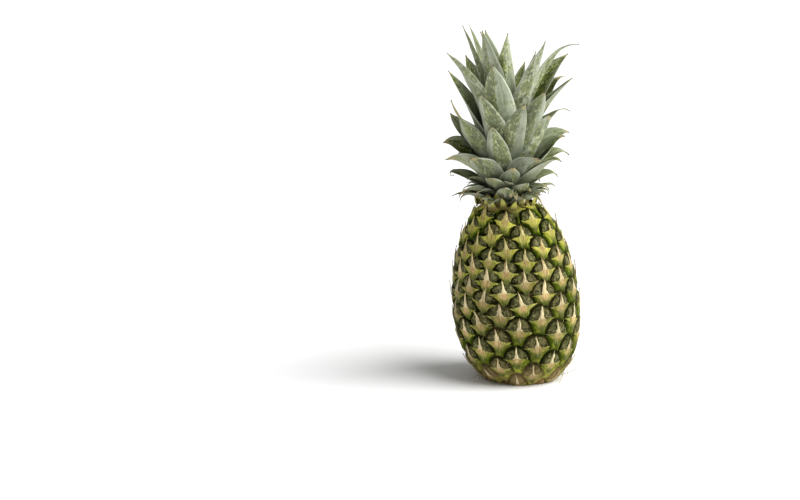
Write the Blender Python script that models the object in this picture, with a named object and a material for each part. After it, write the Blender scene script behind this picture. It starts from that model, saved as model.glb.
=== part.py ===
"""A whole ripe pineapple with its crown of leaves, standing upright on its trimmed base.

Metres, +Z up. The origin is the centre of the flat base and the best side faces -Y.
Sizes below are in millimetres and angles in degrees.
"""
import math

import bmesh
import bpy
import numpy as np

MM = 0.001

# Outline of the fruit from its underside to its neck. The part below height 0 is trimmed away.
OUTLINE_HEIGHTS = (
    -9, -8, -6, -3, 0, 4, 10, 18, 28, 42, 58, 74, 92, 110, 126, 140, 151, 159, 164, 167, 168)
OUTLINE_RADII = (
    1, 8, 18, 27, 32.5, 37, 42, 47.5, 52, 55.9, 58, 58.4, 57.2, 54.2, 49.6, 44.2, 38.3, 32.5, 26.5, 19, 9)
LEAN = -0.068

# Eyes sit on 7, 11 and 18 spiral rows, so these steps lead from an eye to its neighbours.
STEP_RIGHT = 7
STEP_LEFT = 11
STEP_UP = 18
EYE_TURN = -100.0
FIRST_EYE = -85
LAST_EYE = 75
LOWEST_EYE_PATH = -9.0
HIGHEST_EYE_PATH = 184.0
EYE_DOME = 1.5
EYE_SHOULDER = 0.8
EYE_GROOVE = -1.7
SHOULDER_SHARE = 0.66

# Crown stem, a cone with a flared foot, hidden inside the leaves.
CROWN_SHIFT = -15.5
STEM_FOOT_Z = 168.6
STEM_HEIGHT = 58.0
STEM_FOOT_RADIUS = 15.0
STEM_TOP_RADIUS = 4.0
STEM_FLARE = 5.0
STEM_FLARE_HEIGHT = 7.0
STEM_SIDES = 20

# Crown leaves, from the lowest number at the neck to the highest in the heart.
LOWEST_LEAF = -4
INNER_LEAF = 53
LEAF_SPAN = 56
LEAF_TURN = -137.5
FRONT_LEAF = 14
FRONT_LEAF_HEADING = -83.0
LEAF_CLEARANCE = 0.45
LEAF_STATIONS = 8
LEAF_THICKNESS = 0.8
LEAF_TIP_WIDTH = 0.9
LEAF_FOOT_HALF_ANGLE = 34.0
CHANNEL_START = 0.25
CHANNEL_SPREAD = 0.5
CHANNEL_CURVE = 0.02
FULLNESS_PLACES = (0.1, 0.4, 0.62, 0.75, 0.9)
FULLNESS = (2.2, 2.6, 2.3, 2.0, 1.6)
FIRST_ROLLED_LEAF = 4
ROLL_SPREAD = 12
SIDE_ROLL = 13.0

# Leaf sizes against a leaf's place between the lowest full leaf (0) and the innermost (1).
# Foot and tip angles are measured from upright.
LEAF_PLACES = (-0.08, 0.0, 0.05, 0.12, 0.2, 0.3, 0.39, 0.48, 0.57, 0.66, 0.75, 0.86, 1.0)
LEAF_LENGTHS = (22, 28, 34, 45, 54, 62, 68, 88, 104, 120, 138, 130, 66)
LEAF_WIDTHS = (20, 21, 22, 24, 26, 28, 29, 29, 29, 28, 27, 24, 15)
FOOT_ANGLES = (70, 62, 55, 46, 37, 31, 26, 22, 17, 14, 12, 10, 8)
TIP_ANGLES = (98, 106, 112, 120, 120, 106, 76, 50, 36, 34, 32, 28, 16)

# Where single leaves grew differently: turned, longer, wider, foot bent out, tip bent out and the
# shift of the tip to one side.
LEAF_CHANGES = {
    -4: (0, 0, 0, -6, -20, 0), -2: (0, 0, 0, -6, -20, 0), 0: (0, 2, 0, 10, 24, 0),
    1: (0, -2, 0, -8, -46, 0), 3: (0, -2, 0, -4, -26, 0), 6: (0, -14, -2, 4, -50, 0),
    7: (6, 5, 0, 2, -22, 0), 8: (0, -2, 0, 2, -16, 0), 9: (0, -14, -4, 4, -45, 0),
    11: (0, 2, -2, -3, -50, 0), 12: (6, 3, -6, -8, -22, 0), 13: (-26, 12, 0, 2, -22, 0),
    14: (0, -26, -6, 6, -60, 0), 15: (0, 3, 0, 0, 0, 0), 16: (3, 2, -7, 1, -58, 0),
    17: (0, -16, 0, 8, -38, 0), 19: (0, -22, -2, 6, -22, 0), 20: (0, -4, 0, 6, -18, 0),
    21: (-10, 6, -4, 4, -8, 0), 22: (-8, -6, -7, 0, -40, 0), 23: (0, -14, -10, 8, -10, 0),
    24: (0, -10, -5, -1, -36, 0), 25: (0, 6, -8, 7, -22, 0), 27: (-12, -2, -9, -2, 0, 5),
    28: (0, -21, -5, 14, 8, 0), 29: (0, -12, 0, 2, 14, 0), 30: (4, -9, 0, 2, 0, 0),
    31: (0, -10, -8, 0, 0, 0), 32: (-4, -22, 0, 3, -6, 0), 33: (0, -6, -3, 2, 0, 0),
    34: (-14, -6, 0, 9, 4, 0), 35: (-24, -5, 7, 1, 0, 8), 36: (0, -10, 0, 0, 0, 4),
    37: (0, -24, 0, 4, 16, 0), 38: (-2, 0, -6, 0, 16, 0), 39: (0, -45, 0, 0, 0, 0),
    40: (-1, -8, -7, 2, -2, 4), 41: (14, -45, 0, 0, 0, 0), 42: (0, -25, 3, 1, 22, 0),
    43: (-8, -8, 2, 0, 0, 0), 44: (0, -15, 9, 0, 0, 0), 45: (4, -6, -8, 0, 24, 0),
    46: (3, -8, -8, 0, -4, 0), 47: (0, -45, 0, 0, 0, 0), 48: (-35, -12, 3, 0, 0, 16),
    49: (0, -4, -4, 0, 0, 0), 50: (14, -24, 0, 2, -8, 0), 51: (0, 8, 0, 0, 0, 0),
    52: (0, -50, -9, -3, 0, 0), 53: (0, -20, 0, 0, 0, 0),
}

# How far single leaves are rolled about their length. The others follow a rule.
LEAF_ROLLS = {
    3: 0, 4: 10, 7: -10, 8: 5, 11: 5, 12: 0, 13: 5, 14: 0, 15: -10, 16: 5, 17: 0, 19: -8, 20: 0,
    21: 8, 22: 0, 24: 0, 25: 20, 27: 0, 28: 0, 29: 0, 30: -4, 32: -14, 33: -15, 34: 0, 35: 0,
    37: 3, 38: 6, 40: 4, 42: 18, 43: 0, 44: 0, 45: -6, 46: 7, 48: 3, 49: -4, 50: 10,
}


def clear_scene():
    for item in list(bpy.data.objects):
        bpy.data.objects.remove(item, do_unlink=True)


def make_material(name, colour, roughness):
    material = bpy.data.materials.new(name)
    material.use_nodes = True
    shader = material.node_tree.nodes["Principled BSDF"]
    shader.inputs["Base Color"].default_value = (*colour, 1.0)
    shader.inputs["Roughness"].default_value = roughness
    shader.inputs["Metallic"].default_value = 0.0
    return material


def add_object(name, builder, material):
    """Turn a finished bmesh into a named object with its faces outwards."""
    bmesh.ops.triangulate(builder, faces=builder.faces)
    bmesh.ops.recalc_face_normals(builder, faces=builder.faces)
    mesh = bpy.data.meshes.new(name)
    builder.to_mesh(mesh)
    builder.free()
    mesh.materials.append(material)
    item = bpy.data.objects.new(name, mesh)
    bpy.context.scene.collection.objects.link(item)
    return item


def bridge_rings(builder, rings):
    """Skin a row of point rings and close both ends."""
    loops = [[builder.verts.new(point) for point in ring] for ring in rings]
    count = len(loops[0])
    for lower, upper in zip(loops, loops[1:]):
        for side in range(count):
            following = (side + 1) % count
            builder.faces.new((lower[side], lower[following], upper[following], upper[side]))
    builder.faces.new(loops[0])
    builder.faces.new(loops[-1])


def ease(value):
    value = min(1.0, max(0.0, value))
    return value * value * (3.0 - 2.0 * value)


def smooth_outline():
    """Heights and radii along the outline, with the distance along it from the floor."""
    knots = np.arange(len(OUTLINE_HEIGHTS))
    fine = np.linspace(0, len(knots) - 1, 16 * len(knots))
    heights = np.interp(fine, knots, OUTLINE_HEIGHTS)
    radii = np.interp(fine, knots, OUTLINE_RADII)
    window = np.ones(9) / 9
    heights[4:-4] = np.convolve(heights, window, "valid")
    radii[4:-4] = np.convolve(radii, window, "valid")
    steps = np.hypot(np.diff(heights), np.diff(radii))
    path = np.concatenate([[0.0], np.cumsum(steps)])
    return heights, radii, path - np.interp(0.0, heights, path)


HEIGHTS, RADII, PATH = smooth_outline()


def skin_point(turn, path, rise):
    """A point of the skin: an angle round the fruit, a distance up its outline and a lift."""
    climb = np.interp(path + 0.5, PATH, HEIGHTS) - np.interp(path - 0.5, PATH, HEIGHTS)
    spread = np.interp(path + 0.5, PATH, RADII) - np.interp(path - 0.5, PATH, RADII)
    slope = math.hypot(climb, spread)
    radius = np.interp(path, PATH, RADII) + rise * climb / slope
    height = np.interp(path, PATH, HEIGHTS) - rise * spread / slope
    angle = math.radians(turn)
    x = radius * math.sin(angle) + LEAN * height
    y = -radius * math.cos(angle)
    return (x * MM, y * MM, height * MM)


def eye_place(number):
    """An eye's angle round the fruit and its distance up the outline.

    The rows stand nearly straight at mid-height, drift to one side lower down and open out
    towards the base, where the eyes are largest.
    """
    order = number / (3.0 * STEP_UP)
    turn = EYE_TURN * number
    side = math.sin(math.radians(turn + 8.0))
    front = math.cos(math.radians(turn + 8.0))
    drift = 14.0 + 16.5 * order - 6.7 * order**2 - 5.0 * order**3
    sway = (1.5 * order - 2.4) * side - (6.4 * order + 6.6) * front
    climb = 113.0 + 64.5 * order - 6.5 * order**2 + 4.9 * order**3
    tilt = (6.3 + 6.0 * order) * side - (4.1 + 5.3 * order) * front
    return turn + drift + sway, climb + tilt


def cell_corner(number, first, second):
    """The middle of three neighbouring eyes, where their cells meet."""
    turn, path = eye_place(number)
    turns = [turn]
    paths = [path]
    for step in (first, second):
        other_turn, other_path = eye_place(number + step)
        turns.append(turn + (other_turn - turn + 180.0) % 360.0 - 180.0)
        paths.append(other_path)
    return sum(turns) / 3.0, sum(paths) / 3.0


def build_fruit(material):
    """One solid: six-sided eyes with raised middles and sunk seams, flat where it stands."""
    builder = bmesh.new()
    steps = (STEP_RIGHT, STEP_UP, STEP_LEFT, -STEP_RIGHT, -STEP_UP, -STEP_LEFT)
    corners = {}
    for number in range(FIRST_EYE, LAST_EYE + 1):
        turn, path = eye_place(number)
        if not LOWEST_EYE_PATH < path < HIGHEST_EYE_PATH:
            continue
        middle = builder.verts.new(skin_point(turn, path, EYE_DOME))
        outer = []
        inner = []
        for first, second in zip(steps, steps[1:] + steps[:1]):
            corner_turn, corner_path = cell_corner(number, first, second)
            key = tuple(sorted((number, number + first, number + second)))
            if key not in corners:
                corners[key] = builder.verts.new(skin_point(corner_turn, corner_path, EYE_GROOVE))
            outer.append(corners[key])
            inner_turn = turn + SHOULDER_SHARE * (corner_turn - turn)
            inner_path = path + SHOULDER_SHARE * (corner_path - path)
            inner.append(builder.verts.new(skin_point(inner_turn, inner_path, EYE_SHOULDER)))
        for side in range(6):
            following = (side + 1) % 6
            builder.faces.new((middle, inner[side], inner[following]))
            builder.faces.new((inner[side], outer[side], outer[following], inner[following]))
    everything = list(builder.verts) + list(builder.edges) + list(builder.faces)
    bmesh.ops.bisect_plane(
        builder, geom=everything, plane_co=(0, 0, 0), plane_no=(0, 0, 1), clear_inner=True)
    rim = [edge for edge in builder.edges if edge.is_boundary]
    bmesh.ops.holes_fill(builder, edges=rim, sides=0)
    return add_object("fruit", builder, material)


def stem_radius(height):
    flare = STEM_FLARE * math.exp(-height / STEM_FLARE_HEIGHT)
    return STEM_FOOT_RADIUS + (STEM_TOP_RADIUS - STEM_FOOT_RADIUS) * height / STEM_HEIGHT + flare


def build_crown_stem(material):
    rings = []
    for share, size in ((0, 1), (0.05, 1), (0.12, 1), (0.25, 1), (0.5, 1), (0.75, 1), (0.94, 1), (1, 0.55)):
        height = STEM_HEIGHT * share
        radius = stem_radius(height) * size
        angles = [math.tau * side / STEM_SIDES for side in range(STEM_SIDES)]
        rings.append([
            ((radius * math.cos(angle) + CROWN_SHIFT) * MM, radius * math.sin(angle) * MM,
             (STEM_FOOT_Z + height) * MM)
            for angle in angles])
    builder = bmesh.new()
    bridge_rings(builder, rings)
    return add_object("crown_stem", builder, material)


def leaf_law(place, table):
    return float(np.interp(place, LEAF_PLACES, table))


def leaf_rings(number):
    """Rings of eight points along a leaf, from its foot on the stem to its tip.

    The leaf leaves the stem at its foot angle and bends over towards its tip. Its section is
    a thin arc that hugs the stem at the foot and is a shallow channel further out. Its width
    swells from the foot, then draws in to a point. It is rolled about its own length, and its
    tip may be shifted to one side.
    """
    place = number / LEAF_SPAN
    turned, longer, wider, foot_bent, tip_bent, swayed = LEAF_CHANGES.get(number, (0,) * 6)
    nominal = math.radians(FRONT_LEAF_HEADING + LEAF_TURN * (number - FRONT_LEAF))
    heading = nominal + math.radians(turned)
    side_roll = SIDE_ROLL * math.copysign(math.cos(nominal), math.cos(nominal) * math.sin(nominal))
    side_roll *= ease((number - FIRST_ROLLED_LEAF) / ROLL_SPREAD)
    rolled = LEAF_ROLLS.get(number, side_roll)
    length = leaf_law(place, LEAF_LENGTHS) + longer
    full_width = leaf_law(place, LEAF_WIDTHS) + wider
    foot_angle = leaf_law(place, FOOT_ANGLES) + foot_bent
    tip_angle = leaf_law(place, TIP_ANGLES) + tip_bent
    fullness = float(np.interp(place, FULLNESS_PLACES, FULLNESS))
    height = STEM_HEIGHT * (0.068 + 0.66 * place + 0.27 * place**2)
    radius = stem_radius(height) + LEAF_CLEARANCE + LEAF_THICKNESS
    foot_width = 2.0 * radius * math.sin(math.radians(LEAF_FOOT_HALF_ANGLE))
    outward = np.array([math.cos(heading), math.sin(heading), 0.0])
    sideways = np.array([-math.sin(heading), math.cos(heading), 0.0])
    upward = np.array([0.0, 0.0, 1.0])
    crown_foot = np.array([CROWN_SHIFT, 0.0, STEM_FOOT_Z])
    rings = []
    reached = 0.0
    for station in range(LEAF_STATIONS):
        reach = (station / (LEAF_STATIONS - 1))**1.15
        angle = math.radians(foot_angle + (tip_angle - foot_angle) * reach**1.7)
        radius += (reach - reached) * length * math.sin(angle)
        height += (reach - reached) * length * math.cos(angle)
        reached = reach
        width = foot_width + (full_width - foot_width) * ease(reach / 0.3)
        width = max(LEAF_TIP_WIDTH, width * (1.0 - reach**fullness))
        thickness = LEAF_THICKNESS * (1.0 - 0.6 * reach)
        channel = CHANNEL_CURVE * ease((reach - CHANNEL_START) / CHANNEL_SPREAD)
        curve = math.cos(angle) / radius + channel
        centre = crown_foot + outward * radius + upward * height + sideways * swayed * reach**2
        unrolled = upward * math.sin(angle) - outward * math.cos(angle)
        roll = math.radians(rolled * ease((reach - 0.12) / 0.5))
        inner_side = unrolled * math.cos(roll) - sideways * math.sin(roll)
        along_width = sideways * math.cos(roll) + unrolled * math.sin(roll)
        ring = []
        for across, layer in ((-1, 0), (-0.5, 0), (0, 0), (0.5, 0), (1, 0), (0.5, 1), (0, 1), (-0.5, 1)):
            swing = curve * width * 0.5 * across
            lift = (1.0 - math.cos(swing)) / curve - layer * thickness
            ring.append((centre + along_width * math.sin(swing) / curve + inner_side * lift) * MM)
        rings.append(ring)
    return rings


def build_leaf(number, material):
    builder = bmesh.new()
    bridge_rings(builder, leaf_rings(number))
    return add_object(f"crown_leaf_{number - LOWEST_LEAF + 1:02d}", builder, material)


def main():
    clear_scene()
    build_fruit(make_material("rind", (0.20, 0.19, 0.05), 0.6))
    build_crown_stem(make_material("crown_stem", (0.45, 0.42, 0.20), 0.7))
    outer_leaf = make_material("outer_leaf", (0.15, 0.19, 0.07), 0.55)
    inner_leaf = make_material("inner_leaf", (0.24, 0.30, 0.18), 0.55)
    for number in range(LOWEST_LEAF, INNER_LEAF + 1):
        build_leaf(number, outer_leaf if number < FRONT_LEAF else inner_leaf)


main()
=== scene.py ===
import math

import bpy
import numpy as np
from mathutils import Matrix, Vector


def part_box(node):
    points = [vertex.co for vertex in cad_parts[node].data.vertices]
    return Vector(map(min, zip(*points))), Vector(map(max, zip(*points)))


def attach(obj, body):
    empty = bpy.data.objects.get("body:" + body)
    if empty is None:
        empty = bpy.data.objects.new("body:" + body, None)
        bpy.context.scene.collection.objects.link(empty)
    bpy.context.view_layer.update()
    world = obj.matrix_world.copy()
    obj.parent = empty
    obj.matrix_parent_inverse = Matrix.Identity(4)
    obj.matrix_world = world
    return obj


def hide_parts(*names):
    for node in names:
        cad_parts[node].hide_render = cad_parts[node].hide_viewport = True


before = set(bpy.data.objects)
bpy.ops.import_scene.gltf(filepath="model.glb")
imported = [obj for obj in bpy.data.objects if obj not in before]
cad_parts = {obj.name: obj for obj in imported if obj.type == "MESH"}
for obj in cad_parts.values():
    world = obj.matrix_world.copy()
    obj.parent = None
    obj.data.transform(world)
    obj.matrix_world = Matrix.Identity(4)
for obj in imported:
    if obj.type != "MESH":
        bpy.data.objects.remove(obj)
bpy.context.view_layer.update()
print("frame loaded with", len(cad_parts), "nodes")

mm = 0.001      # lengths below are in millimetres, turned to metres as a mesh is made


def ease(value):
    # smooth step: three times the square less twice the cube, held between 0 and 1
    value = np.clip(value, 0.0, 1.0)
    return value * value * (3.0 - 2.0 * value)


def hump(value, middle, width):
    # bell curve: e to the minus square of the distance from the middle over the width
    return np.exp(-((value - middle) / width) ** 2)


def powers(value, factors):
    # the factors times rising powers of the value, added up
    return sum(factor * value ** power for power, factor in enumerate(factors))


def curveThrough(knots, values, at):
    # smooth curve through points: cubic pieces whose end slopes follow the neighbouring points
    knots, values = np.asarray(knots, float), np.asarray(values, float)
    slopes = np.gradient(values, knots)
    first = np.clip(np.searchsorted(knots, at) - 1, 0, len(knots) - 2)
    span = knots[first + 1] - knots[first]
    t = (at - knots[first]) / span
    start = (1 + 2 * t) * (1 - t) ** 2 * values[first] + t * (1 - t) ** 2 * span * slopes[first]
    end = t * t * (3 - 2 * t) * values[first + 1] + t * t * (t - 1) * span * slopes[first + 1]
    return start + end


def wander(x, y, size, seed, waves=6, spread=(0.7, 1.6)):
    # gentle unevenness: the mean of a few sine waves of random direction, about one size long
    draw = np.random.default_rng(seed)
    total = 0.0
    for _ in range(waves):
        heading, phase = draw.uniform(0, math.tau, 2)
        pace = math.tau / (size * draw.uniform(*spread))
        total = total + np.sin((x * math.cos(heading) + y * math.sin(heading)) * pace + phase)
    return total / waves


def gridFaces(rows, columns, closed=False, start=0):
    # the four-cornered faces of a grid whose points run along each row in turn
    index = start + np.arange(rows * columns).reshape(rows, columns)
    after = np.roll(index, -1, axis=1) if closed else index[:, 1:]
    here = index if closed else index[:, :-1]
    return np.stack([here[:-1], after[:-1], after[1:], here[1:]], axis=-1).reshape(-1, 4)


def shellFaces(rows, columns):
    # a closed sheet: an outer grid, an inner grid seen from its other side, and a rim between them
    outer = gridFaces(rows, columns)
    under = rows * columns
    inner = gridFaces(rows, columns, start=under)[:, ::-1]
    index = np.arange(under).reshape(rows, columns)
    rim = np.concatenate([index[0, :-1], index[:-1, -1], index[-1, :0:-1], index[:0:-1, 0]])
    rimNext = np.roll(rim, -1)
    edge = np.stack([rimNext, rim, rim + under, rimNext + under], axis=-1)
    return np.concatenate([outer, inner, edge])


def copies(faces, pointsEach, count):
    # the same faces for many equal pieces whose points follow each other
    return (faces[None] + pointsEach * np.arange(count)[:, None, None]).reshape(-1, faces.shape[1])


def makePiece(name, points, quads, triangles, marks, material, nodes=()):
    # puts finished points in millimetres, faces and per-point marks into a piece on the part
    mesh = bpy.data.meshes.new(name)
    faces = quads.tolist() + (triangles.tolist() if triangles is not None else [])
    mesh.from_pydata((points.reshape(-1, 3) * mm).tolist(), [], faces)
    for label, values in marks.items():
        layer = mesh.attributes.new(label, "FLOAT", "POINT")
        layer.data.foreach_set("value", np.ascontiguousarray(values, np.float32).ravel())
    mesh.polygons.foreach_set("use_smooth", np.ones(len(mesh.polygons), bool))
    mesh.materials.append(material)
    mesh.update()
    piece = bpy.data.objects.new(name, mesh)
    bpy.context.scene.collection.objects.link(piece)
    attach(piece, "root")
    if nodes:
        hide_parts(*nodes)
    return piece


def fill(tree, node, sockets):
    # joins each socket to another node's output, or sets it to a value
    for name, value in sockets.items():
        if isinstance(value, bpy.types.NodeSocket):
            tree.links.new(value, node.inputs[name])
        else:
            node.inputs[name].default_value = value


def put(tree, kind, sockets=None, **settings):
    # adds a node, makes its settings and fills its sockets
    node = tree.nodes.new("ShaderNode" + kind)
    for name, value in settings.items():
        setattr(node, name, value)
    fill(tree, node, sockets or {})
    return node


def sums(tree, operation, *values):
    # one step of arithmetic on sockets or numbers
    return put(tree, "Math", dict(enumerate(values)), operation=operation).outputs[0]


def times(tree, first, second):
    # the first multiplied by the second
    return sums(tree, "MULTIPLY", first, second)


def plus(tree, first, second):
    # the two added up
    return sums(tree, "ADD", first, second)


def less(tree, first, second):
    # the second taken from the first
    return sums(tree, "SUBTRACT", first, second)


def fade(tree, value, low, high, atLow=0.0, atHigh=1.0):
    # smooth change from atLow to atHigh as the value goes from low to high
    return put(tree, "MapRange", {"Value": value, 1: low, 2: high, 3: atLow, 4: atHigh},
               interpolation_type="SMOOTHSTEP").outputs[0]


def tint(tree, share, first, second, how="MIX"):
    # mixes two colours, given as red, green and blue or as sockets
    first, second = ((*each, 1.0) if isinstance(each, tuple) else each for each in (first, second))
    return put(tree, "Mix", {0: share, 6: first, 7: second},
               data_type="RGBA", blend_type=how).outputs[2]


def layered(tree, colour, *layers):
    # lays one colour after another over the first, each by its share
    for share, over in layers:
        colour = tint(tree, share, colour, over)
    return colour


def mark(tree, label):
    # a value that the mesh carries at each point
    return put(tree, "Attribute", attribute_name=label).outputs["Fac"]


def greyOf(tree, value):
    # a grey as light as the value
    return put(tree, "CombineColor", {0: value, 1: value, 2: value}).outputs[0]


def onPart(tree):
    # where a point of the surface is, in metres
    return put(tree, "TexCoord").outputs["Object"]


def noise(tree, where, scale, detail, roughness=0.5):
    # soft random grey, about as many lumps to a metre as the scale
    return put(tree, "TexNoise", {
        "Vector": where, "Scale": scale, "Detail": detail, "Roughness": roughness}).outputs[0]


def newGroup(name, inputs, outputs):
    # an empty node group with its named sockets
    group = bpy.data.node_groups.new(name, "ShaderNodeTree")
    for label, kind, value in inputs:
        socket = group.interface.new_socket(label, in_out="INPUT", socket_type="NodeSocket" + kind)
        if value is not None:
            socket.default_value = value
    for label, kind in outputs:
        group.interface.new_socket(label, in_out="OUTPUT", socket_type="NodeSocket" + kind)
    given, result = (group.nodes.new("NodeGroup" + end) for end in ("Input", "Output"))
    return group, given.outputs, result.inputs


def buildBlotches():
    # irregular patches: coarse noise with a share of fine noise, cut at a level with a soft edge
    group, given, result = newGroup("blotches", [
        ("Position", "Vector", None), ("Scale", "Float", 100.0), ("Level", "Float", 0.5),
        ("Softness", "Float", 0.06), ("Fine share", "Float", 0.35)], [("Mask", "Float")])
    fineness = 4.3                  # how much smaller the fine noise is
    coarse = noise(group, given["Position"], given["Scale"], 3.0, 0.55)
    fine = noise(group, given["Position"], times(group, given["Scale"], fineness), 3.0, 0.65)
    total = plus(group, coarse, times(group, less(group, fine, 0.5), given["Fine share"]))
    low = less(group, given["Level"], given["Softness"])
    high = plus(group, given["Level"], given["Softness"])
    group.links.new(fade(group, total, low, high), result["Mask"])
    return group


def buildFibres():
    # fine lines that follow a leaf or bract: noise stretched along it, finely divided across it
    group, given, result = newGroup("fibres", [
        ("Across", "Float", 0.0), ("Along", "Float", 0.0), ("Seed", "Float", 0.0),
        ("Count", "Float", 20.0)], [("Lines", "Float")])
    stretch, apart = 2.5, 57.0      # how often the lines change along, and the room between seeds
    where = put(group, "CombineXYZ", {
        0: times(group, given["Across"], given["Count"]), 1: times(group, given["Along"], stretch),
        2: times(group, given["Seed"], apart)}).outputs[0]
    group.links.new(fade(group, noise(group, where, 1.0, 2.5, 0.6), 0.3, 0.7), result["Lines"])
    return group


blotches = buildBlotches()
fibres = buildFibres()


def patchMask(tree, where, scale, level, softness, fineShare=0.35):
    # the blotches group placed in a material
    return put(tree, "Group", {
        "Position": where, "Scale": scale, "Level": level, "Softness": softness,
        "Fine share": fineShare}, node_tree=blotches).outputs[0]


def fineLines(tree, across, along, seed, count):
    # the fibres group placed in a material
    return put(tree, "Group", {"Across": across, "Along": along, "Seed": seed, "Count": count},
               node_tree=fibres).outputs[0]


def newMaterial(name):
    # a material with its shader, and the tree to build in
    material = bpy.data.materials.new(name)
    material.use_nodes = True
    return material, material.node_tree


def finishMaterial(material, colour, roughness, specular, relief=None):
    # the looks as sockets or numbers; relief is a height with its strength and depth in metres
    tree = material.node_tree
    sockets = {"Base Color": colour, "Roughness": roughness, "Specular IOR Level": specular}
    if relief:
        height, strength, depth = relief
        sockets["Normal"] = put(tree, "Bump", {
            "Height": height, "Strength": strength, "Distance": depth}).outputs[0]
    fill(tree, tree.nodes["Principled BSDF"], sockets)
    return material


fruit = {
    # the outline from under the base to the neck
    "heights": (-9, -8, -6, -3, 0, 4, 10, 18, 28, 42, 58, 74, 92, 110, 126, 140, 151, 159, 164, 167,
                168),
    "radii": (1, 8, 18, 27, 32.5, 37, 42, 47.5, 52, 55.9, 58, 58.4, 57.2, 54.2, 49.6, 44.2, 38.3,
              32.5, 26.5, 19, 9),
    "lean": -0.068,                             # sideways shift for each millimetre of height
    "columns": 480,                             # faces round the fruit
    # rows of faces up the outline: from, to and how many, under the base, up the side, at the neck
    "rows": ((-32.5, -4.0, 13), (-2.9, 189.0, 186), (190.5, 197.2, 5)),
    "archWidth": 0.64, "archHeight": 0.60,      # half width and height of an eye's dome, in eyes
    "grooveDepth": 1.9, "domeHeight": 1.5, "domePower": 2.4,
    "reachUnderArch": 0.26, "reachElsewhere": 0.4,      # how far from a groove the dome is full
    "lobeHeight": 0.7, "lobeAcross": (0.25, 0.15), "lobeUp": (0.24, 0.17),
    "uneven": 0.8, "unevenSizes": (23.0, 19.0), "bumpiness": 0.3, "bumpSize": 7.0,
    "smoothBelow": -15.0, "smoothOver": 11.0,
    "stubRadius": 11.0, "stubHeight": 1.0, "stubEdge": 1.5,     # cut stalk under the base
    "hollowRadius": 26.0, "hollowDepth": 1.4, "hollowOver": 12.0,
}


def smoothOutline():
    # the outline's corners rounded by a moving mean, with the distance along it from the floor
    knots = np.arange(len(fruit["heights"]))
    fine = np.linspace(0, len(knots) - 1, 16 * len(knots))
    heights = np.interp(fine, knots, fruit["heights"])
    radii = np.interp(fine, knots, fruit["radii"])
    window = np.ones(9) / 9
    heights[4:-4] = np.convolve(heights, window, "valid")
    radii[4:-4] = np.convolve(radii, window, "valid")
    path = np.concatenate([[0.0], np.cumsum(np.hypot(np.diff(heights), np.diff(radii)))])
    return heights, radii, path - np.interp(0.0, heights, path)


outlineHeights, outlineRadii, outlinePath = smoothOutline()


def outlineRadius(path):
    # distance from the axis, read off the outline at a distance along it
    return np.interp(path, outlinePath, outlineRadii)


def outlineHeight(path):
    # height above the floor, read off the outline at a distance along it
    return np.interp(path, outlinePath, outlineHeights)


def skinPoint(turn, path, rise):
    # turn degrees round the fruit, path up its outline, then rise along the outline's normal
    climb = outlineHeight(path + 0.5) - outlineHeight(path - 0.5)
    spread = outlineRadius(path + 0.5) - outlineRadius(path - 0.5)
    slope = np.maximum(np.hypot(climb, spread), 1e-6)
    radius = np.maximum(outlineRadius(path) + rise * climb / slope, 0.05)
    height = outlineHeight(path) - rise * spread / slope
    angle = np.radians(turn)
    sideways = radius * np.sin(angle) + fruit["lean"] * height
    return np.stack([sideways, -radius * np.cos(angle), height], axis=-1)


eye = {
    "first": -88.0, "count": 160, "columns": 18, "turnEach": -100.0, "facing": 8.0,
    # laws by rising powers of an eye's order up the fruit, in degrees and millimetres
    "drift": (14.0, 16.5, -6.7, -5.0), "swaySide": (-2.4, 1.5), "swayFront": (-6.6, -6.4),
    "climb": (110.5, 64.5, -6.5, 4.9), "tiltSide": (6.3, 6.0), "tiltFront": (-4.1, -5.3),
    "steeper": 30.0, "steeperFrom": 0.3,
    "seed": 11, "narrowest": 17.0, "narrowFrom": 100.0, "heights": (9.0, 24.0),
    "unevenSize": 0.025, "unevenLean": 0.05, "fullHeight": 20.0, "reliefs": (0.5, 1.1),
    "dry": (0.2, 0.14), "dryBase": 0.6, "dryBelow": 34.0, "dryOver": 26.0,
}


def eyePlace(number):
    # spiral law: a fixed turn on and a little up for each eye, with slow drifts in both, and
    # steeper near the neck, where fewer eyes fit round the fruit
    order = number / (3.0 * eye["columns"])
    turn = eye["turnEach"] * number
    angle = np.radians(turn + eye["facing"])
    side, front = np.sin(angle), np.cos(angle)
    sway = powers(order, eye["swaySide"]) * side + powers(order, eye["swayFront"]) * front
    tilt = powers(order, eye["tiltSide"]) * side + powers(order, eye["tiltFront"]) * front
    steeper = eye["steeper"] * np.maximum(order - eye["steeperFrom"], 0) ** 2
    return turn + powers(order, eye["drift"]) + sway, powers(order, eye["climb"]) + steeper + tilt


def wrap(angle):
    # the same angle between -180 and 180 degrees
    return (angle + 180.0) % 360.0 - 180.0


def buildEyes():
    # every eye's place and size: its width is its column's, its height follows from the room left
    count = eye["count"]
    numbers = eye["first"] + np.arange(count)
    turn, path = eyePlace(numbers)
    draw = np.random.default_rng(eye["seed"])
    around = math.tau * outlineRadius(path)
    width = around / eye["columns"]
    width = np.where(path > eye["narrowFrom"], np.maximum(width, eye["narrowest"]), width)
    half = eye["columns"] // 2
    rise = (eyePlace(numbers + half)[1] - eyePlace(numbers - half)[1]) / eye["columns"]
    height = np.clip(rise * around / width, *eye["heights"])
    nearBase = ease((eye["dryBelow"] - path) / eye["dryOver"])
    return {
        "turn": turn, "path": path, "seed": draw.random(count),
        "width": width * draw.normal(1.0, eye["unevenSize"], count),
        "height": height * draw.normal(1.0, eye["unevenSize"], count),
        "lean": draw.normal(0.0, eye["unevenLean"], count),
        "dry": np.clip(draw.normal(*eye["dry"], count) + eye["dryBase"] * nearBase, 0, 1),
        "size": np.clip(height / eye["fullHeight"], *eye["reliefs"]),
    }


eyes = buildEyes()


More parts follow.
